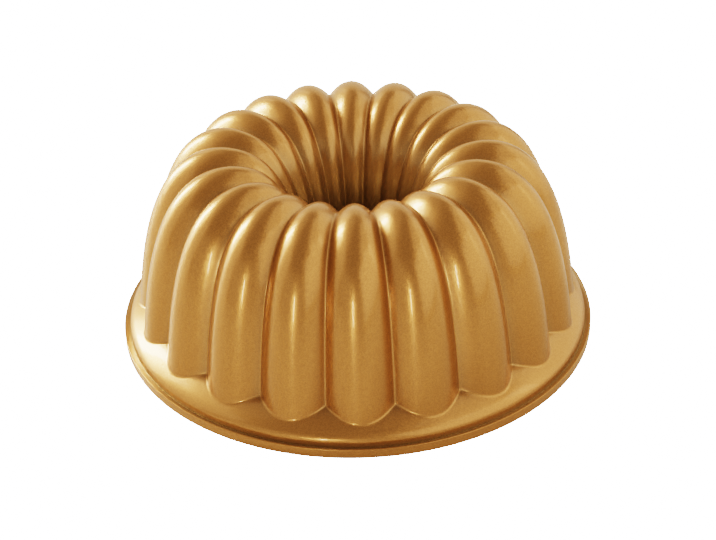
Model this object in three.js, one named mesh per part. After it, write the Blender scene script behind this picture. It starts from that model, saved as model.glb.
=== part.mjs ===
// Fluted tube pan for ring cakes: one aluminium casting with a gold metallic coat outside and a non-stick
// coat inside. It stands upside down on its rim, as it does when a cake is turned out. Millimetres, +Z up,
// with the origin in the middle of the rim plane and one rib facing -Y.
import * as THREE from "three";

// Rim, from its outer edge inwards: an upright lip, a ledge that sinks to a groove, an upright step and a
// sloping flange that swells a little.
const RIM_RADIUS = 130;
const LIP_HEIGHT = 5.6;
const LEDGE_WIDTH = 3.3;
const GROOVE_DEPTH = 1.5; // below the lip's top, on the outside only
const STEP_RUN = 0.2;
const STEP_RISE = 3.7; // above the lip's top
const FLANGE_WIDTH = 13.6; // from the step's top edge to the valley line's foot in the rim plane
const FLANGE_SLOPE = THREE.MathUtils.degToRad(31.6);
const FLANGE_SWELL = 0.9; // above the straight slope, halfway up the flange

// Valley line between two ribs: up the outer wall, over the crown and down the tube.
const VALLEY_HEIGHT = 100.8;
const WALL_DRAFT = THREE.MathUtils.degToRad(4.6);
const CROWN_INSET = 45.4; // from the valley line's foot inwards to its highest point
const TUBE_RADIUS = 23.4; // at the tube's end
const TUBE_TAPER = THREE.MathUtils.degToRad(7.1);
const TUBE_END_HEIGHT = 12;

// How far the valley line keeps its direction at each end of its two curves, as a share of that curve's
// height at the wall and the tube, and of its width at the crown.
const WALL_STRAIGHTNESS = 0.66;
const CROWN_OUTER_FULLNESS = 0.6;
const CROWN_INNER_FULLNESS = 0.42;
const TUBE_STRAIGHTNESS = 0.88;

// Ribs: each stands proud of the valley lines beside it, with a parabola for its section.
const RIB_COUNT = 20;
const RIB_DEPTH_FOOT = 9.25;
const RIB_DEPTH_CROWN = 6.45;
const RIB_DEPTH_TUBE = 1.35;

// Layers, from the outside in.
const EXTERIOR_COAT = 0.05;
const CAST_WALL = 3;
const NONSTICK_COAT = 0.05;
const VALLEY_THICKENING = 0.3; // share added under a valley line, which keeps the ribs' flanks at full wall
const COAT_EDGE_HEIGHT = 0.4; // the rim rests on bare metal, and both coats stop this far above it

// Facets of the curved surfaces.
const FACETS_PER_RIB = 4;
const FLANGE_STRIPS = 2;
const WALL_STRIPS = 7;
const TUBE_STRIPS = 6;
const FOOT_SEARCH_STEPS = 40;

const COLUMNS = RIB_COUNT * FACETS_PER_RIB;
const RIB_PITCH = (2 * Math.PI) / RIB_COUNT;
const FRONT_RIB_ANGLE = -Math.PI / 2;

const stepFootRadius = RIM_RADIUS - LEDGE_WIDTH;
const flangeEdgeRadius = stepFootRadius - STEP_RUN;
const flangeEdgeHeight = LIP_HEIGHT + STEP_RISE;
const wallFootRadius = flangeEdgeRadius - FLANGE_WIDTH;
const flangeFootHeight = flangeEdgeHeight + FLANGE_WIDTH * Math.tan(FLANGE_SLOPE);
const crownRadius = wallFootRadius - CROWN_INSET;
const castDepth = EXTERIOR_COAT + CAST_WALL;
const liningDepth = castDepth + NONSTICK_COAT;

// Outlines hold the radius in x and the height in y.
const at = (radius, height) => new THREE.Vector2(radius, height);

// The rim's outline for the skin at this depth, before it is set in. The groove fades out through the wall,
// so the inside has a plain step.
const rimOutline = (depth) => [
  at(RIM_RADIUS, 0),
  at(RIM_RADIUS, LIP_HEIGHT),
  at(stepFootRadius, LIP_HEIGHT - GROOVE_DEPTH * (1 - depth / liningDepth)),
  at(flangeEdgeRadius, flangeEdgeHeight),
  at(wallFootRadius, flangeFootHeight),
];

const wallReach = WALL_STRAIGHTNESS * VALLEY_HEIGHT;
const wallCurve = new THREE.CubicBezierCurve(
  at(wallFootRadius, 0),
  at(wallFootRadius - wallReach * Math.sin(WALL_DRAFT), wallReach * Math.cos(WALL_DRAFT)),
  at(crownRadius + CROWN_OUTER_FULLNESS * CROWN_INSET, VALLEY_HEIGHT),
  at(crownRadius, VALLEY_HEIGHT),
);

const tubeReach = TUBE_STRAIGHTNESS * (VALLEY_HEIGHT - TUBE_END_HEIGHT);
const tubeCurve = new THREE.CubicBezierCurve(
  at(crownRadius, VALLEY_HEIGHT),
  at(crownRadius - CROWN_INNER_FULLNESS * (crownRadius - TUBE_RADIUS), VALLEY_HEIGHT),
  at(
    TUBE_RADIUS + tubeReach * Math.sin(TUBE_TAPER),
    TUBE_END_HEIGHT + tubeReach * Math.cos(TUBE_TAPER),
  ),
  at(TUBE_RADIUS, TUBE_END_HEIGHT),
);

// The normal on the outer side of a stretch that runs from the rim towards the tube.
const outward = (direction) => at(direction.y, -direction.x);

// Half the width of a rib whose valley lines have this radius.
const ribHalfWidth = (radius) => radius * Math.sin(RIB_PITCH / 2);

// A rib's depth over its half width, which changes evenly from the foot to the crown and on to the tube.
const footShare = RIB_DEPTH_FOOT / ribHalfWidth(wallFootRadius);
const crownShare = RIB_DEPTH_CROWN / ribHalfWidth(crownRadius);
const tubeShare = RIB_DEPTH_TUBE / ribHalfWidth(TUBE_RADIUS);

// A point of a rib at this depth below the outer surface. Along it, way runs from 0 to 1 up the wall and from
// 1 to 2 down the tube. Across it, side is 0 on the crest and -1 and 1 on its two valley lines.
function ribPoint(way, side, depth) {
  const onWall = way < 1;
  const curve = onWall ? wallCurve : tubeCurve;
  const t = onWall ? way : way - 1;
  const share = onWall
    ? THREE.MathUtils.lerp(footShare, crownShare, t)
    : THREE.MathUtils.lerp(crownShare, tubeShare, t);
  const valley = curve.getPoint(t);
  const rise = share * ribHalfWidth(valley.x) * (1 - side * side);
  const sink = depth * (1 + VALLEY_THICKENING * side * side);
  return valley.addScaledVector(outward(curve.getTangent(t)), rise - sink);
}

// The rim's outline at this depth below the outer surface, with mitred corners.
function insetRim(depth) {
  const outline = rimOutline(depth);
  const normals = outline
    .slice(1)
    .map((end, i) => outward(end.clone().sub(outline[i]).normalize()));
  return outline.map((point, i) => {
    const before = normals[Math.max(i - 1, 0)];
    const after = normals[Math.min(i, normals.length - 1)];
    const mitre = before.clone().add(after).divideScalar(1 + before.dot(after));
    return point.clone().addScaledVector(mitre, -depth);
  });
}

// The flange at this radius, on the skin whose flange starts at this edge. It swells between edge and wall.
function flangePoint(radius, flangeEdge) {
  const run = flangeEdge.x - radius;
  const way = run / FLANGE_WIDTH;
  const swell = 4 * FLANGE_SWELL * way * (1 - way);
  return at(radius, flangeEdge.y + run * Math.tan(FLANGE_SLOPE) + swell);
}

// Where a rib's wall comes down onto the flange, as its way along the rib.
function footWay(side, depth, flangeEdge) {
  let below = 0;
  let above = 1;
  for (let i = 0; i < FOOT_SEARCH_STEPS; i++) {
    const middle = (below + above) / 2;
    const point = ribPoint(middle, side, depth);
    if (point.y < flangePoint(point.x, flangeEdge).y) below = middle;
    else above = middle;
  }
  return above;
}

// The section of one skin at a place across a rib, from the rim plane to the tube's end.
function skinSection(side, depth) {
  const [lip, lipTop, stepFoot, flangeEdge] = insetRim(depth);
  const rows = [lip, at(lip.x, COAT_EDGE_HEIGHT), lipTop, stepFoot, flangeEdge];
  const foot = footWay(side, depth, flangeEdge);
  const footRadius = ribPoint(foot, side, depth).x;
  for (let i = 1; i < FLANGE_STRIPS; i++) {
    const radius = THREE.MathUtils.lerp(flangeEdge.x, footRadius, i / FLANGE_STRIPS);
    rows.push(flangePoint(radius, flangeEdge));
  }
  for (let i = 0; i <= WALL_STRIPS; i++) {
    rows.push(ribPoint(THREE.MathUtils.lerp(foot, 1, i / WALL_STRIPS), side, depth));
  }
  for (let i = 1; i <= TUBE_STRIPS; i++) {
    rows.push(ribPoint(1 + i / TUBE_STRIPS, side, depth));
  }
  rows.at(-1).y = TUBE_END_HEIGHT; // the tube is trimmed level
  return rows;
}

// One skin of the pan as rows of points round the axis.
function skin(depth) {
  const sides = Array.from({ length: FACETS_PER_RIB }, (_, i) => (2 * i) / FACETS_PER_RIB - 1);
  const sections = sides.map((side) => skinSection(side, depth));
  return sections[0].map((_, row) =>
    Array.from({ length: COLUMNS }, (_, column) => {
      const angle = FRONT_RIB_ANGLE + (column / FACETS_PER_RIB - 0.5) * RIB_PITCH;
      const { x: radius, y: height } = sections[column % FACETS_PER_RIB][row];
      return new THREE.Vector3(radius * Math.cos(angle), radius * Math.sin(angle), height);
    }),
  );
}

// The closed layer between two skins. Both are cut along the same diagonals, so layers that share a skin meet
// face to face.
function layer(outer, inner) {
  const last = outer.length - 1;
  const index = [];
  const outerAt = (row, column) => row * COLUMNS + (column % COLUMNS);
  const innerAt = (row, column) => outer.length * COLUMNS + outerAt(row, column);
  const addQuad = (a, b, c, d) => index.push(a, b, c, a, c, d);
  for (let c = 0; c < COLUMNS; c++) {
    for (let r = 0; r < last; r++) {
      addQuad(outerAt(r, c), outerAt(r, c + 1), outerAt(r + 1, c + 1), outerAt(r + 1, c));
      addQuad(innerAt(r + 1, c + 1), innerAt(r, c + 1), innerAt(r, c), innerAt(r + 1, c));
    }
    addQuad(outerAt(0, c), innerAt(0, c), innerAt(0, c + 1), outerAt(0, c + 1));
    addQuad(outerAt(last, c), outerAt(last, c + 1), innerAt(last, c + 1), innerAt(last, c));
  }
  const geometry = new THREE.BufferGeometry().setFromPoints([...outer.flat(), ...inner.flat()]);
  geometry.setIndex(index);
  geometry.computeVertexNormals();
  return geometry;
}

function piece(name, geometry, colour, roughness, metalness) {
  const material = new THREE.MeshStandardMaterial({ color: colour, roughness, metalness });
  const mesh = new THREE.Mesh(geometry, material);
  mesh.name = name;
  return mesh;
}

// The coats leave out the first row, which is the bare edge of the rim's resting face.
const coated = (rows) => rows.slice(1);
const goldFace = skin(0);
const castOuterFace = skin(EXTERIOR_COAT);
const castInnerFace = skin(castDepth);
const batterFace = skin(liningDepth);

const pan = new THREE.Group();
pan.add(
  piece("cast_body", layer(castOuterFace, castInnerFace), 0xb4b6b8, 0.45, 1),
  piece("exterior_coat", layer(coated(goldFace), coated(castOuterFace)), 0xb8863c, 0.35, 0.9),
  piece("interior_nonstick_coat", layer(coated(castInnerFace), coated(batterFace)), 0x8a6a38, 0.5, 0.6),
);

export default pan;
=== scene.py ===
"""Fluted tube pan for ring cakes, turned upside down: the fine shape and finish of its casting and of the
two coats on it, on a pale floor in soft studio light. Lengths are in metres, and one rib faces -Y, towards
the camera."""

import math

import bpy
from mathutils import Matrix, Vector


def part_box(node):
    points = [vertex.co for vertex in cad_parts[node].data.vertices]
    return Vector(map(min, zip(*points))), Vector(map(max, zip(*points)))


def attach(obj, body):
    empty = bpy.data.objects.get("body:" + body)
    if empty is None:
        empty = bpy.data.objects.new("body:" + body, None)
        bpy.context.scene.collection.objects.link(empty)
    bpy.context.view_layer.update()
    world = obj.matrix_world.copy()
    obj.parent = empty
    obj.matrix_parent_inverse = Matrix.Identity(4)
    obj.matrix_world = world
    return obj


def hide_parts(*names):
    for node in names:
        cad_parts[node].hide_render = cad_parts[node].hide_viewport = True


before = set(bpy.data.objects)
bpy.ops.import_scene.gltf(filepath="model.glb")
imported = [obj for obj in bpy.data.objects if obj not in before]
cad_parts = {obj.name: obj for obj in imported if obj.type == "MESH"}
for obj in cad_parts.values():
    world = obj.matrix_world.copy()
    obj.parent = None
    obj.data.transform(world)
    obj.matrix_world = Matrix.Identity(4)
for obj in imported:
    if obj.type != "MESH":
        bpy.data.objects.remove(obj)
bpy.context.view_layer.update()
RIM_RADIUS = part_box("exterior_coat")[1].x

bl_info = {
    "name": "Fluted Tube Pan",
    "version": (1, 0, 0),
    "blender": (4, 5, 0),
    "location": "View3D > Sidebar > Tube Pan",
    "description": "Builds a cast ring-cake pan with a gold metallic coat, and the studio that it stands in",
    "category": "Object",
}

MM = 0.001
BODY = "root"
FRONT_RIB_ANGLE = math.radians(-90)

# Fineness of the surfaces. Places across half a rib are shares of it from the valley line to the crest,
# closer together in the valley's fillet.
HALF_RIB_SHARES = (0.0, 0.02, 0.045, 0.085, 0.15, 0.24, 0.35, 0.48, 0.62, 0.8, 1.0)
ROUND_STEPS = 7
FLANGE_STRIPS = 7
WALL_STRIPS = 34
TUBE_STRIPS = 28
FOOT_SEARCH_STEPS = 40
LONGEST_ROUNDING = 0.95  # as a share of the stretch that is rounded
SUPPORT = 0.05 * MM  # a row this close to a rounding keeps the shading of the stretch beside it flat
WELD = 0.001 * MM
SHARP_EDGE = math.radians(40)


def length(name, millimetres, description):
    """A size in the sidebar, kept in metres."""
    return bpy.props.FloatProperty(
        name=name,
        description=description,
        default=millimetres * MM,
        min=0,
        precision=5,
        subtype="DISTANCE",
        unit="LENGTH",
    )


def slope(name, degrees, description):
    """An angle in the sidebar, kept in radians."""
    return bpy.props.FloatProperty(
        name=name,
        description=description,
        default=math.radians(degrees),
        subtype="ANGLE",
        unit="ROTATION",
    )


def share(name, default, description):
    """A share from 0 to 1 in the sidebar."""
    return bpy.props.FloatProperty(
        name=name,
        description=description,
        default=default,
        min=0,
        max=1,
        subtype="FACTOR",
    )


def linear_colour(hex_colour):
    """The linear red, green and blue of an sRGB hex value."""
    channels = [int(hex_colour[i : i + 2], 16) / 255 for i in (1, 3, 5)]
    return [c / 12.92 if c <= 0.04045 else ((c + 0.055) / 1.055) ** 2.4 for c in channels]


def colour(name, hex_colour, description):
    """A colour in the sidebar."""
    return bpy.props.FloatVectorProperty(
        name=name,
        description=description,
        default=linear_colour(hex_colour),
        min=0,
        max=1,
        size=3,
        subtype="COLOR",
    )


class TubePanSizes(bpy.types.PropertyGroup):
    """Sizes of the pan"""

    rim_radius: length("Rim radius", RIM_RADIUS / MM, "Outer radius of the lip")
    lip_height: length("Lip height", 5.6, "Height of the upright lip")
    ledge_width: length("Ledge width", 3.3, "Width of the ledge on top of the lip")
    groove_depth: length("Groove depth", 1.5, "How far the ledge sinks towards the step, on the outside")
    step_run: length("Step run", 0.2, "How far the step leans inwards")
    step_rise: length("Step rise", 3.7, "Height of the step above the ledge")
    flange_width: length("Flange width", 13.6, "From the step's top edge to the valley line's foot")
    flange_slope: slope("Flange slope", 31.6, "Slope of the flange, up towards the wall")
    flange_swell: length("Flange swell", 0.9, "How far the flange swells above its slope in the middle")
    valley_height: length("Valley height", 100.8, "Highest point of the valley line between two ribs")
    wall_draft: slope("Wall draft", 4.6, "Lean of the wall at its foot")
    crown_inset: length("Crown inset", 45.4, "From the valley line's foot inwards to its highest point")
    tube_radius: length("Tube radius", 23.4, "Radius of the valley line at the tube's end")
    tube_taper: slope("Tube taper", 7.1, "Lean of the tube at its end")
    tube_end_height: length("Tube end height", 12, "Height of the tube's open end above the rim plane")
    wall_straightness: share("Wall straightness", 0.66, "How far up the wall keeps its direction")
    crown_outer_fullness: share("Outer crown fullness", 0.6, "How far out the crown stays level")
    crown_inner_fullness: share("Inner crown fullness", 0.42, "How far in the crown stays level")
    tube_straightness: share("Tube straightness", 0.88, "How far up the tube keeps its direction")
    rib_count: bpy.props.IntProperty(
        name="Ribs", description="Number of ribs round the pan", default=20, min=3
    )
    rib_depth_foot: length("Rib depth, foot", 9.25, "How far a rib stands out at the wall's foot")
    rib_depth_crown: length("Rib depth, crown", 6.45, "How far a rib stands out on the crown")
    rib_depth_tube: length("Rib depth, tube", 1.35, "How far a rib stands out at the tube's end")
    valley_fillet: length("Valley fillet", 0.55, "Radius in the bottom of a valley")
    foot_fillet: length("Foot fillet", 1.2, "Reach of the fillet where a rib meets the flange")
    lip_round: length("Lip rounding", 0.9, "Reach of the rounding on the lip's upper edge")
    step_fillet: length("Step fillet", 0.1, "Reach of the fillet between the ledge and the step")
    step_round: length("Step rounding", 2.6, "How far the flange's rounded edge reaches down the step")
    flange_round: length("Flange rounding", 6, "How far the flange's rounded edge reaches up the flange")
    exterior_coat: length("Exterior coat", 0.05, "Thickness of the gold coat")
    cast_wall: length("Cast wall", 3, "Thickness of the aluminium")
    nonstick_coat: length("Non-stick coat", 0.05, "Thickness of the coat inside")
    valley_thickening: share("Valley thickening", 0.3, "Extra thickness of the metal under a valley line")
    coat_edge_height: length("Coat edge height", 0.4, "Bare metal left between the coats and the rim plane")


class TubePanFinish(bpy.types.PropertyGroup):
    """Colours of the pan"""

    gold: colour("Gold", "#B1875C", "Gold coat between its flakes")
    gold_flake: colour("Gold flake", "#C19465", "Bright flakes in the gold coat")
    # Painted shade: the paler, duller gold that the coat is given in valleys, grooves and the tube.
    gold_painted_shade: colour("Gold in recesses", "#B2A58B", "Gold coat where it pooled in valleys and grooves")
    aluminium: colour("Aluminium", "#C9CACB", "Bare cast metal")
    aluminium_skin: colour("Aluminium skin", "#AEB0B2", "Dull patches of the mould's skin on the metal")
    nonstick: colour("Non-stick", "#7C5C30", "Coat on the side that holds the batter")
    nonstick_fleck: colour("Non-stick fleck", "#96743F", "Flecks in the coat on that side")
    light: colour("Light", "#FFEDD0", "Warm white of the studio light")
    floor: colour("Floor", "#F4F3F1", "Floor that the camera sees under the pan")
    table: colour("Table", "#ECEAE6", "Table top that the pan mirrors")


class TubePan(bpy.types.PropertyGroup):
    """The pan's settings"""

    sizes: bpy.props.PointerProperty(name="Sizes", description="Sizes of the pan", type=TubePanSizes)
    finish: bpy.props.PointerProperty(name="Finish", description="Colours of the pan", type=TubePanFinish)


def add_node(tree, kind, inputs=None, **settings):
    """Adds a node with its settings. Each input takes a value or a link from another node's output."""
    node = tree.nodes.new(kind)
    for name, value in settings.items():
        setattr(node, name, value)
    for name, source in (inputs or {}).items():
        if isinstance(source, bpy.types.NodeSocket):
            tree.links.new(source, node.inputs[name])
        else:
            node.inputs[name].default_value = source
    return node


# Shape of the pan. Sections hold the radius in x and the height in y.


def cubic(points, t):
    """The point and the direction at t on a cubic Bezier curve."""
    a, b, c, d = points
    s = 1 - t
    point = s**3 * a + 3 * s * s * t * b + 3 * s * t * t * c + t**3 * d
    direction = s * s * (b - a) + 2 * s * t * (c - b) + t * t * (d - c)
    return point, direction.normalized()


def outward(direction):
    """The normal on the outer side of a stretch that runs from the rim towards the tube."""
    return Vector((direction.y, -direction.x))


def lerp(start, end, t):
    """The value that lies this share of the way from start to end."""
    return start + (end - start) * t


class PanShape:
    """Points of the pan's skins, which lie at a chosen depth below its outer surface."""

    def __init__(self, sizes):
        self.sizes = sizes
        self.pitch = math.tau / sizes.rib_count
        step_foot = sizes.rim_radius - sizes.ledge_width
        flange_edge = step_foot - sizes.step_run
        flange_edge_height = sizes.lip_height + sizes.step_rise
        wall_foot = flange_edge - sizes.flange_width
        flange_foot_height = flange_edge_height + sizes.flange_width * math.tan(sizes.flange_slope)
        crown = wall_foot - sizes.crown_inset
        self.rim = [
            Vector((sizes.rim_radius, 0)),
            Vector((sizes.rim_radius, sizes.lip_height)),
            Vector((step_foot, sizes.lip_height)),
            Vector((flange_edge, flange_edge_height)),
            Vector((wall_foot, flange_foot_height)),
        ]
        wall_reach = sizes.wall_straightness * sizes.valley_height
        tube_reach = sizes.tube_straightness * (sizes.valley_height - sizes.tube_end_height)
        crown_reach = sizes.crown_inner_fullness * (crown - sizes.tube_radius)
        top = Vector((crown, sizes.valley_height))
        tube_end = Vector((sizes.tube_radius, sizes.tube_end_height))
        wall_lean = Vector((-math.sin(sizes.wall_draft), math.cos(sizes.wall_draft)))
        tube_lean = Vector((math.sin(sizes.tube_taper), math.cos(sizes.tube_taper)))
        self.wall = [
            Vector((wall_foot, 0)),
            Vector((wall_foot, 0)) + wall_reach * wall_lean,
            top + Vector((sizes.crown_outer_fullness * sizes.crown_inset, 0)),
            top,
        ]
        self.tube = [top, top - Vector((crown_reach, 0)), tube_end + tube_reach * tube_lean, tube_end]
        self.foot_share = sizes.rib_depth_foot / self.half_width(wall_foot)
        self.crown_share = sizes.rib_depth_crown / self.half_width(crown)
        self.tube_share = sizes.rib_depth_tube / self.half_width(sizes.tube_radius)

    def half_width(self, radius):
        """Half the width of a rib whose valley lines have this radius."""
        return radius * math.sin(self.pitch / 2)

    def rib_point(self, way, side, depth):
        """A point of a rib. Way runs from 0 to 1 up the wall and on to 2 down the tube. Side runs from -1
        to 1 across the rib, from one valley line over the crest to the other. The section is a parabola
        with filleted feet."""
        on_wall = way < 1
        t = way if on_wall else way - 1
        valley, direction = cubic(self.wall if on_wall else self.tube, t)
        if on_wall:
            depth_share = lerp(self.foot_share, self.crown_share, t)
        else:
            depth_share = lerp(self.crown_share, self.tube_share, t)
        half_width = self.half_width(valley.x)
        fillet = self.sizes.valley_fillet / half_width
        inside = 1 - abs(side)
        smooth = math.hypot(inside, fillet) - fillet / 2
        off_crest = 1 - smooth / (math.hypot(1, fillet) - fillet / 2)
        rise = depth_share * half_width * (1 - off_crest**2)
        sink = depth * (1 + self.sizes.valley_thickening * off_crest**2)
        return valley + outward(direction) * (rise - sink)

    def inset_rim(self, depth):
        """The rim's corners at this depth. The groove beside the step fades out through the wall."""
        sizes = self.sizes
        lining_depth = sizes.exterior_coat + sizes.cast_wall + sizes.nonstick_coat
        groove = Vector((0, sizes.groove_depth * (1 - depth / lining_depth)))
        rim = self.rim[:2] + [self.rim[2] - groove] + self.rim[3:]
        normals = [outward((b - a).normalized()) for a, b in zip(rim, rim[1:])]
        corners = []
        for point, before, after in zip(rim, normals[:1] + normals, normals + normals[-1:]):
            mitre = (before + after) / (1 + before.dot(after))
            corners.append(point - mitre * depth)
        return corners

    def flange_point(self, radius, flange_edge):
        """The point of the flange at this radius. It swells between the edge and the wall."""
        run = flange_edge.x - radius
        way = run / self.sizes.flange_width
        swell = 4 * self.sizes.flange_swell * way * (1 - way)
        return Vector((radius, flange_edge.y + run * math.tan(self.sizes.flange_slope) + swell))

    def foot_way(self, side, depth, flange_edge):
        """Where a rib's wall comes down onto the flange, as its way along the rib."""
        below, above = 0.0, 1.0
        for _ in range(FOOT_SEARCH_STEPS):
            middle = (below + above) / 2
            point = self.rib_point(middle, side, depth)
            if point.y < self.flange_point(point.x, flange_edge).y:
                below = middle
            else:
                above = middle
        return above

    def wall_rows(self, side, depth, flange_edge):
        """The fillet at a rib's foot, its wall and its stretch down the tube."""
        foot_way = self.foot_way(side, depth, flange_edge)
        foot = self.rib_point(foot_way, side, depth)
        reach = self.sizes.foot_fillet
        start = self.flange_point(foot.x + reach, flange_edge)
        step = foot_way + (1 - foot_way) / WALL_STRIPS
        stretch = (self.rib_point(step, side, depth) - foot).length
        end_way = foot_way + (step - foot_way) * reach / stretch
        end = self.rib_point(end_way, side, depth)
        rows = blend(start, foot, end)
        support_way = end_way + (step - foot_way) * SUPPORT / stretch
        rows.append(self.rib_point(support_way, side, depth))
        rows += [self.rib_point(lerp(end_way, 1, t), side, depth) for t in steps(WALL_STRIPS)[1:]]
        rows += [self.rib_point(1 + t, side, depth) for t in steps(TUBE_STRIPS)[1:]]
        rows[-1].y = self.sizes.tube_end_height
        return rows

    def section(self, side, depth, edge):
        """A skin's section at a place across a rib, from the rim's edge to the tube's end. Edge is 0 for a
        coat, which stops above the rim plane. On the casting it is the way that its lower edge is
        rounded: -1 in, 1 out."""
        sizes = self.sizes
        lip, lip_top, step_foot, flange_edge, _ = self.inset_rim(depth)
        wall = self.wall_rows(side, depth, flange_edge)
        flange_round = min(sizes.flange_round, LONGEST_ROUNDING * (flange_edge.x - wall[0].x))
        flange = [
            self.flange_point(lerp(flange_edge.x - flange_round, wall[0].x, t), flange_edge)
            for t in steps(FLANGE_STRIPS)[:-1]
        ]
        lean = (flange[0] - self.flange_point(flange[0].x - SUPPORT, flange_edge)) / SUPPORT
        corner = flange[0] + lean * flange_round
        corners = [
            (lip_top, sizes.lip_round, sizes.lip_round),
            (step_foot, sizes.step_fillet, sizes.step_fillet),
            (corner, sizes.step_round, flange_round * lean.length),
        ]
        if edge:
            start = Vector((lip.x + edge * sizes.coat_edge_height, 0))
            corners.insert(0, (lip, sizes.coat_edge_height, sizes.coat_edge_height))
        else:
            start = Vector((lip.x, sizes.coat_edge_height))
        rows = rounded_path(start, corners, flange[0])
        return rows[:-1] + flange[1:] + [wall[0] + (flange[-1] - wall[0]).normalized() * SUPPORT] + wall

    def skin(self, depth, edge):
        """One rib's share of a skin, as rows of points from its one valley line to its other."""
        sides = [s - 1 for s in HALF_RIB_SHARES] + [1 - s for s in reversed(HALF_RIB_SHARES[:-1])]
        sections = [self.section(side, depth, edge) for side in sides]
        angles = [FRONT_RIB_ANGLE + side / 2 * self.pitch for side in sides]
        return [
            [(p.x * math.cos(angle), p.x * math.sin(angle), p.y) for p, angle in zip(row, angles)]
            for row in zip(*sections)
        ]


def steps(count):
    """Even shares from 0 to 1."""
    return [i / count for i in range(count + 1)]


def blend(start, corner, end):
    """A smooth curve from start to end, which touches the lines from both to the corner."""
    return [lerp(lerp(start, corner, t), lerp(corner, end, t), t) for t in steps(ROUND_STEPS)]


def rounded_path(start, corners, end):
    """A path with rounded corners. Each comes with the reaches of its rounding before it and after it."""
    rows = [start]
    points = [start] + [point for point, _, _ in corners] + [end]
    for (point, reach_before, reach_after), before, after in zip(corners, points, points[2:]):
        back = (before - point).normalized()
        on = (after - point).normalized()
        entry = point + back * reach_before
        leave = point + on * reach_after
        rows += [entry + back * SUPPORT, *blend(entry, point, leave), leave + on * SUPPORT]
    return rows


def rib_mesh(name, outer, inner):
    """One rib's share of the layer between two skins, open at the sides where its neighbours join it."""
    rows = len(outer)
    columns = len(outer[0])
    last = rows - 1

    def outer_at(row, column):
        return row * columns + column

    def inner_at(row, column):
        return (rows + row) * columns + column

    faces = []
    for c in range(columns - 1):
        for r in range(last):
            faces.append((outer_at(r, c), outer_at(r, c + 1), outer_at(r + 1, c + 1), outer_at(r + 1, c)))
            faces.append((inner_at(r + 1, c), inner_at(r + 1, c + 1), inner_at(r, c + 1), inner_at(r, c)))
        faces.append((outer_at(0, c), inner_at(0, c), inner_at(0, c + 1), outer_at(0, c + 1)))
        faces.append((outer_at(last, c), outer_at(last, c + 1), inner_at(last, c + 1), inner_at(last, c)))
    mesh = bpy.data.meshes.new(name)
    mesh.from_pydata([p for row in outer + inner for p in row], [], faces)
    return mesh


def rib_ring_tree():
    """Node tree that repeats a rib round the pan's axis and welds the copies into one closed layer."""
    tree = bpy.data.node_groups.new("Rib ring", "GeometryNodeTree")
    tree.interface.new_socket("Rib", in_out="INPUT", socket_type="NodeSocketGeometry")
    tree.interface.new_socket("Rib Count", in_out="INPUT", socket_type="NodeSocketInt")
    tree.interface.new_socket("Weld Distance", in_out="INPUT", socket_type="NodeSocketFloat")
    tree.interface.new_socket("Finish", in_out="INPUT", socket_type="NodeSocketMaterial")
    tree.interface.new_socket("Layer", in_out="OUTPUT", socket_type="NodeSocketGeometry")
    given = add_node(tree, "NodeGroupInput").outputs
    points = add_node(tree, "GeometryNodePoints", {"Count": given["Rib Count"]})
    index = add_node(tree, "GeometryNodeInputIndex")
    pitch = add_node(tree, "ShaderNodeMath", {0: math.tau, 1: given["Rib Count"]}, operation="DIVIDE")
    angle = add_node(tree, "ShaderNodeMath", {0: index.outputs[0], 1: pitch.outputs[0]}, operation="MULTIPLY")
    turn = add_node(tree, "ShaderNodeCombineXYZ", {"Z": angle.outputs[0]})
    ribs = add_node(
        tree,
        "GeometryNodeInstanceOnPoints",
        {"Points": points.outputs[0], "Instance": given["Rib"], "Rotation": turn.outputs[0]},
    )
    real = add_node(tree, "GeometryNodeRealizeInstances", {"Geometry": ribs.outputs[0]})
    welded = add_node(
        tree,
        "GeometryNodeMergeByDistance",
        {"Geometry": real.outputs[0], "Distance": given["Weld Distance"]},
    )
    smooth = add_node(tree, "GeometryNodeSetShadeSmooth", {0: welded.outputs[0], "Shade Smooth": True})
    coated = add_node(
        tree,
        "GeometryNodeSetMaterial",
        {"Geometry": smooth.outputs[0], "Material": given["Finish"]},
    )
    add_node(tree, "NodeGroupOutput", {"Layer": coated.outputs[0]})
    return tree


def layer_piece(context, name, node, depths, edges, material):
    """A closed layer of the pan between two depths, which stands for a node of the construction."""
    sizes = context.scene.tube_pan.sizes
    shape = PanShape(sizes)
    outer, inner = [shape.skin(depth, edge) for depth, edge in zip(depths, edges)]
    piece = bpy.data.objects.new(name, rib_mesh(name, outer, inner))
    context.scene.collection.objects.link(piece)
    tree = bpy.data.node_groups.get("Rib ring") or rib_ring_tree()
    ring = piece.modifiers.new("Rib ring", "NODES")
    ring.node_group = tree
    values = {"Rib Count": sizes.rib_count, "Weld Distance": WELD, "Finish": material}
    for item in tree.interface.items_tree:
        if item.name in values:
            ring[item.identifier] = values[item.name]
    depsgraph = context.evaluated_depsgraph_get()
    mesh = bpy.data.meshes.new_from_object(piece.evaluated_get(depsgraph))
    piece.modifiers.remove(ring)
    rib = piece.data
    piece.data = mesh
    bpy.data.meshes.remove(rib)
    mesh.name = name
    mesh.materials.pop(index=0)  # the bare rib's empty slot
    mesh.set_sharp_from_angle(angle=SHARP_EDGE)
    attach(piece, BODY)
    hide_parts(node)
    return piece


# Finishes.


def new_material(name):
    """An empty node material, with its shader linked to its output."""
    material = bpy.data.materials.new(name)
    material.use_nodes = True
    tree = material.node_tree
    tree.nodes.clear()
    shader = add_node(tree, "ShaderNodeBsdfPrincipled")
    add_node(tree, "ShaderNodeOutputMaterial", {"Surface": shader.outputs[0]})
    return material, tree, shader
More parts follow.
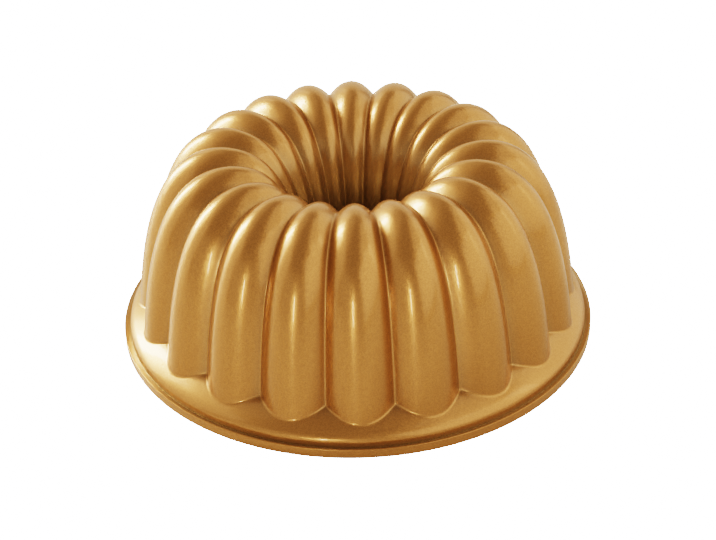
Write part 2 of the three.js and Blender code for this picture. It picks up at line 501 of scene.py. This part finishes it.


# Gold metallic enamel, sprayed on and baked: leafing flakes under a thin clear film. The flakes lie nearly
# flat, so the gloss is broad and grainy where light turns to dark, and the film adds a fine white glint of
# its own. Where the ambient occlusion finds valleys, grooves and the tube, the base colour is painted a
# paler,
# duller gold: painted shade that sets the tone of the shade in these recesses. Real flakes are about 0.04 mm
# across, too fine to show, so they are drawn coarser here.
FLAKE_SIZE = 0.45 * MM
FLAKE_TILT = 0.07
PAINTED_SHADE_REACH = 80 * MM
PAINTED_SHADE_OPENNESS = (0.2, 0.78)


def gold_enamel(finish):
    material, tree, shader = new_material("gold metallic enamel")
    place = add_node(tree, "ShaderNodeTexCoord").outputs["Object"]
    cells = add_node(tree, "ShaderNodeTexVoronoi", {"Vector": place, "Scale": 1 / FLAKE_SIZE})
    flakes = cells.outputs["Color"]
    flake_light = add_node(tree, "ShaderNodeSeparateColor", {"Color": flakes})
    tint = add_node(
        tree,
        "ShaderNodeMix",
        {"Factor": flake_light.outputs[0], "A": (*finish.gold, 1), "B": (*finish.gold_flake, 1)},
        data_type="RGBA",
    )
    # Painted shade: the less open a place is, the more its base colour turns to the paler gold of the painted
    # shade.
    openness = add_node(
        tree, "ShaderNodeAmbientOcclusion", {"Distance": PAINTED_SHADE_REACH}, samples=8, only_local=True
    )
    shaded = add_node(
        tree,
        "ShaderNodeMapRange",
        {
            "Value": openness.outputs["AO"],
            "From Min": PAINTED_SHADE_OPENNESS[0],
            "From Max": PAINTED_SHADE_OPENNESS[1],
            "To Min": 1,
            "To Max": 0,
        },
    )
    coat = add_node(
        tree,
        "ShaderNodeMix",
        {"Factor": shaded.outputs[0], "A": tint.outputs["Result"], "B": (*finish.gold_painted_shade, 1)},
        data_type="RGBA",
    )
    off_centre = add_node(tree, "ShaderNodeVectorMath", {0: flakes, 1: (0.5, 0.5, 0.5)}, operation="SUBTRACT")
    tilt = add_node(
        tree, "ShaderNodeVectorMath", {0: off_centre.outputs[0], "Scale": FLAKE_TILT}, operation="SCALE"
    )
    surface = add_node(tree, "ShaderNodeNewGeometry").outputs["Normal"]
    tilted = add_node(tree, "ShaderNodeVectorMath", {0: surface, 1: tilt.outputs[0]})
    normal = add_node(tree, "ShaderNodeVectorMath", {0: tilted.outputs[0]}, operation="NORMALIZE")
    tree.links.new(coat.outputs["Result"], shader.inputs["Base Color"])
    tree.links.new(normal.outputs[0], shader.inputs["Normal"])
    shader.inputs["Metallic"].default_value = 0.75
    shader.inputs["Roughness"].default_value = 0.3
    shader.inputs["Coat Weight"].default_value = 0.5
    shader.inputs["Coat Roughness"].default_value = 0.07
    return material


# Sand-cast aluminium, bare where the rim rests: a matt grey skin with the mould's grain, and brighter where
# it has rubbed on shelves.
CAST_GRAIN = 0.8 * MM
CAST_GRAIN_DEPTH = 0.02 * MM


def cast_aluminium(finish):
    material, tree, shader = new_material("cast aluminium")
    place = add_node(tree, "ShaderNodeTexCoord").outputs["Object"]
    grain = add_node(tree, "ShaderNodeTexNoise", {"Vector": place, "Scale": 1 / CAST_GRAIN, "Detail": 3})
    skin = add_node(
        tree,
        "ShaderNodeMix",
        {"Factor": grain.outputs["Fac"], "A": (*finish.aluminium_skin, 1), "B": (*finish.aluminium, 1)},
        data_type="RGBA",
    )
    relief = add_node(
        tree,
        "ShaderNodeBump",
        {"Height": grain.outputs["Fac"], "Strength": 1, "Distance": CAST_GRAIN_DEPTH},
    )
    tree.links.new(skin.outputs["Result"], shader.inputs["Base Color"])
    tree.links.new(relief.outputs[0], shader.inputs["Normal"])
    shader.inputs["Metallic"].default_value = 1.0
    shader.inputs["Roughness"].default_value = 0.45
    return material


# Bronze-toned non-stick enamel, sprayed and cured: a satin film with pale mica flecks and a faint orange
# peel. Mica flecks are about 0.1 mm across, so they are drawn coarser here.
FLECK_SIZE = 0.7 * MM
FLECK_SHARE = 0.2
PEEL_SIZE = 2.5 * MM
PEEL_DEPTH = 0.012 * MM


def nonstick_enamel(finish):
    material, tree, shader = new_material("bronze non-stick")
    place = add_node(tree, "ShaderNodeTexCoord").outputs["Object"]
    cells = add_node(tree, "ShaderNodeTexVoronoi", {"Vector": place, "Scale": 1 / FLECK_SIZE})
    cell = add_node(tree, "ShaderNodeSeparateColor", {"Color": cells.outputs["Color"]})
    fleck = add_node(tree, "ShaderNodeMath", {0: cell.outputs[0], 1: FLECK_SHARE}, operation="LESS_THAN")
    film = add_node(
        tree,
        "ShaderNodeMix",
        {"Factor": fleck.outputs[0], "A": (*finish.nonstick, 1), "B": (*finish.nonstick_fleck, 1)},
        data_type="RGBA",
    )
    peel = add_node(tree, "ShaderNodeTexNoise", {"Vector": place, "Scale": 1 / PEEL_SIZE, "Detail": 1})
    relief = add_node(
        tree,
        "ShaderNodeBump",
        {"Height": peel.outputs["Fac"], "Strength": 1, "Distance": PEEL_DEPTH},
    )
    tree.links.new(film.outputs["Result"], shader.inputs["Base Color"])
    tree.links.new(relief.outputs[0], shader.inputs["Normal"])
    shader.inputs["Metallic"].default_value = 0.5
    shader.inputs["Roughness"].default_value = 0.42
    return material


SHEET_GLOW = 16


def white_sheet(finish):
    """Matt white studio sheet, lit from below."""
    material, _, shader = new_material("lit white sheet")
    shader.inputs["Base Color"].default_value = (*finish.floor, 1)
    shader.inputs["Roughness"].default_value = 0.6
    shader.inputs["Emission Color"].default_value = (1, 1, 1, 1)
    shader.inputs["Emission Strength"].default_value = SHEET_GLOW
    return material


def table_top(finish):
    """Satin pale table top, which the pan mirrors."""
    material, _, shader = new_material("pale table top")
    shader.inputs["Base Color"].default_value = (*finish.table, 1)
    shader.inputs["Roughness"].default_value = 0.5
    return material


# Studio. The camera stands where the photograph's rim, ribs and feet put it. Its turns are in radians, and
# its lens and sensor in millimetres.

CAMERA_PLACE = Vector((0, -807.323, 539.103)) * MM
CAMERA_YAW = 0.0011011
CAMERA_PITCH = 0.5633645
CAMERA_ROLL = 0.0281812
LENS = 86.744
SENSOR_WIDTH = 36
SHEET_SIZE = 8
AMBIENT_LIGHT = 0.33
LIGHT_DISTANCE = 1.5
LIGHT_TARGET = Vector((0, 0, 0.06))

# Each soft light's name, its azimuth and elevation, the width and height that it spans, all in degrees as the
# pan sees it, and its brightness. Azimuth runs from the front towards the right.
SOFT_LIGHTS = (
    ("key", -124, 19.5, (8, 29), 24.5),
    ("key halo", -120, 20, (32, 40), 2.9),
    ("front strip", -16, 8, (2.6, 13), 28),
    ("front card", 6, 8, (28, 28), 0.15),
    ("left front card", -46, 10, (36, 38), 0.27),
    ("right card", 54, 24, (66, 44), 0.87),
    ("back right card", 115, 20, (58, 50), 0.86),
    ("upper right card", 90, 58, (60, 24), 0.56),
    ("back card", 180, 18, (56, 46), 0.54),
    ("left card", -112, 24, (84, 58), 0.53),
    ("upper left card", -125, 62, (60, 24), 0.22),
)


def add_camera(scene):
    """The camera at the photograph's place and angle."""
    data = bpy.data.cameras.new("Camera")
    data.lens = LENS
    data.sensor_width = SENSOR_WIDTH
    camera = bpy.data.objects.new("Camera", data)
    scene.collection.objects.link(camera)
    level = Matrix.Rotation(math.pi / 2 - CAMERA_PITCH, 4, "X")
    camera.matrix_world = (
        Matrix.Translation(CAMERA_PLACE)
        @ Matrix.Rotation(-CAMERA_YAW, 4, "Z")
        @ level
        @ Matrix.Rotation(-CAMERA_ROLL, 4, "Z")
    )
    scene.camera = camera


def add_sheet(scene, name, material):
    """A level sheet at the height that the pan stands on."""
    half = SHEET_SIZE / 2
    mesh = bpy.data.meshes.new(name)
    corners = [(-half, -half, 0), (half, -half, 0), (half, half, 0), (-half, half, 0)]
    mesh.from_pydata(corners, [], [(0, 1, 2, 3)])
    mesh.materials.append(material)
    sheet = bpy.data.objects.new(name, mesh)
    scene.collection.objects.link(sheet)
    return sheet


def add_softbox(scene, name, azimuth, elevation, size, brightness):
    """A soft rectangular light that faces the pan and spans these angles as the pan sees it."""
    data = bpy.data.lights.new(name, "AREA")
    data.shape = "RECTANGLE"
    data.size, data.size_y = [2 * LIGHT_DISTANCE * math.tan(math.radians(angle) / 2) for angle in size]
    data.energy = brightness * math.pi * data.size * data.size_y
    data.color = scene.tube_pan.finish.light
    light = bpy.data.objects.new(name, data)
    turn, rise = math.radians(azimuth), math.radians(elevation)
    away = Vector((math.sin(turn) * math.cos(rise), -math.cos(turn) * math.cos(rise), math.sin(rise)))
    light.location = LIGHT_TARGET + LIGHT_DISTANCE * away
    light.rotation_euler = (-away).to_track_quat("-Z", "Y").to_euler()
    light.visible_camera = False
    scene.collection.objects.link(light)


class TUBEPAN_OT_exterior_coat(bpy.types.Operator):
    """Make the gold coat on the outside of the pan"""

    bl_idname = "tubepan.exterior_coat"
    bl_label = "Exterior Coat"

    def execute(self, context):
        pan = context.scene.tube_pan
        depths = (0, pan.sizes.exterior_coat)
        layer_piece(
            context, "gold_exterior", "exterior_coat", depths, (0, 0), gold_enamel(pan.finish)
        )
        return {"FINISHED"}


class TUBEPAN_OT_casting(bpy.types.Operator):
    """Make the aluminium casting between the two coats"""

    bl_idname = "tubepan.casting"
    bl_label = "Casting"

    def execute(self, context):
        pan = context.scene.tube_pan
        top = pan.sizes.exterior_coat
        depths = (top, top + pan.sizes.cast_wall)
        layer_piece(
            context,
            "aluminium_casting",
            "cast_body",
            depths,
            (-1, 1),
            cast_aluminium(pan.finish),
        )
        return {"FINISHED"}


class TUBEPAN_OT_interior_coat(bpy.types.Operator):
    """Make the non-stick coat on the side that holds the batter"""

    bl_idname = "tubepan.interior_coat"
    bl_label = "Interior Coat"

    def execute(self, context):
        pan = context.scene.tube_pan
        top = pan.sizes.exterior_coat + pan.sizes.cast_wall
        depths = (top, top + pan.sizes.nonstick_coat)
        layer_piece(
            context,
            "nonstick_interior",
            "interior_nonstick_coat",
            depths,
            (0, 0),
            nonstick_enamel(pan.finish),
        )
        return {"FINISHED"}


class TUBEPAN_OT_studio(bpy.types.Operator):
    """Make the floor, the lights and the camera"""

    bl_idname = "tubepan.studio"
    bl_label = "Studio"

    def execute(self, context):
        scene = context.scene
        floor = add_sheet(scene, "floor", white_sheet(scene.tube_pan.finish))
        floor.visible_diffuse = False
        floor.visible_glossy = False
        floor.visible_shadow = False
        table = add_sheet(scene, "table", table_top(scene.tube_pan.finish))
        table.visible_camera = False
        world = bpy.data.worlds.new("Studio")
        world.use_nodes = True
        background = world.node_tree.nodes["Background"].inputs
        background["Strength"].default_value = AMBIENT_LIGHT
        background["Color"].default_value = (*scene.tube_pan.finish.light, 1)
        scene.world = world
        scene.view_settings.view_transform = "Filmic"
        scene.view_settings.look = "Very High Contrast"
        for name, azimuth, elevation, size, brightness in SOFT_LIGHTS:
            add_softbox(scene, name, azimuth, elevation, size, brightness)
        add_camera(scene)
        return {"FINISHED"}


OPERATORS = (
    TUBEPAN_OT_exterior_coat,
    TUBEPAN_OT_casting,
    TUBEPAN_OT_interior_coat,
    TUBEPAN_OT_studio,
)


class TUBEPAN_PT_sidebar(bpy.types.Panel):
    """The pan's settings and operators"""

    bl_idname = "TUBEPAN_PT_sidebar"
    bl_label = "Fluted Tube Pan"
    bl_space_type = "VIEW_3D"
    bl_region_type = "UI"
    bl_category = "Tube Pan"

    def draw(self, context):
        pan = context.scene.tube_pan
        for group in (pan.sizes, pan.finish):
            column = self.layout.column(align=True)
            for name in group.__annotations__:
                column.prop(group, name)
        column = self.layout.column(align=True)
        for operator in OPERATORS:
            column.operator(operator.bl_idname)


CLASSES = (TubePanSizes, TubePanFinish, TubePan, *OPERATORS, TUBEPAN_PT_sidebar)


def register():
    for cls in CLASSES:
        bpy.utils.register_class(cls)
    bpy.types.Scene.tube_pan = bpy.props.PointerProperty(
        name="Tube pan", description="Settings of the fluted tube pan", type=TubePan
    )


def unregister():
    del bpy.types.Scene.tube_pan
    for cls in reversed(CLASSES):
        bpy.utils.unregister_class(cls)


def main():
    register()
    bpy.ops.tubepan.exterior_coat()
    bpy.ops.tubepan.casting()
    bpy.ops.tubepan.interior_coat()
    bpy.ops.tubepan.studio()


if __name__ == "__main__":
    main()
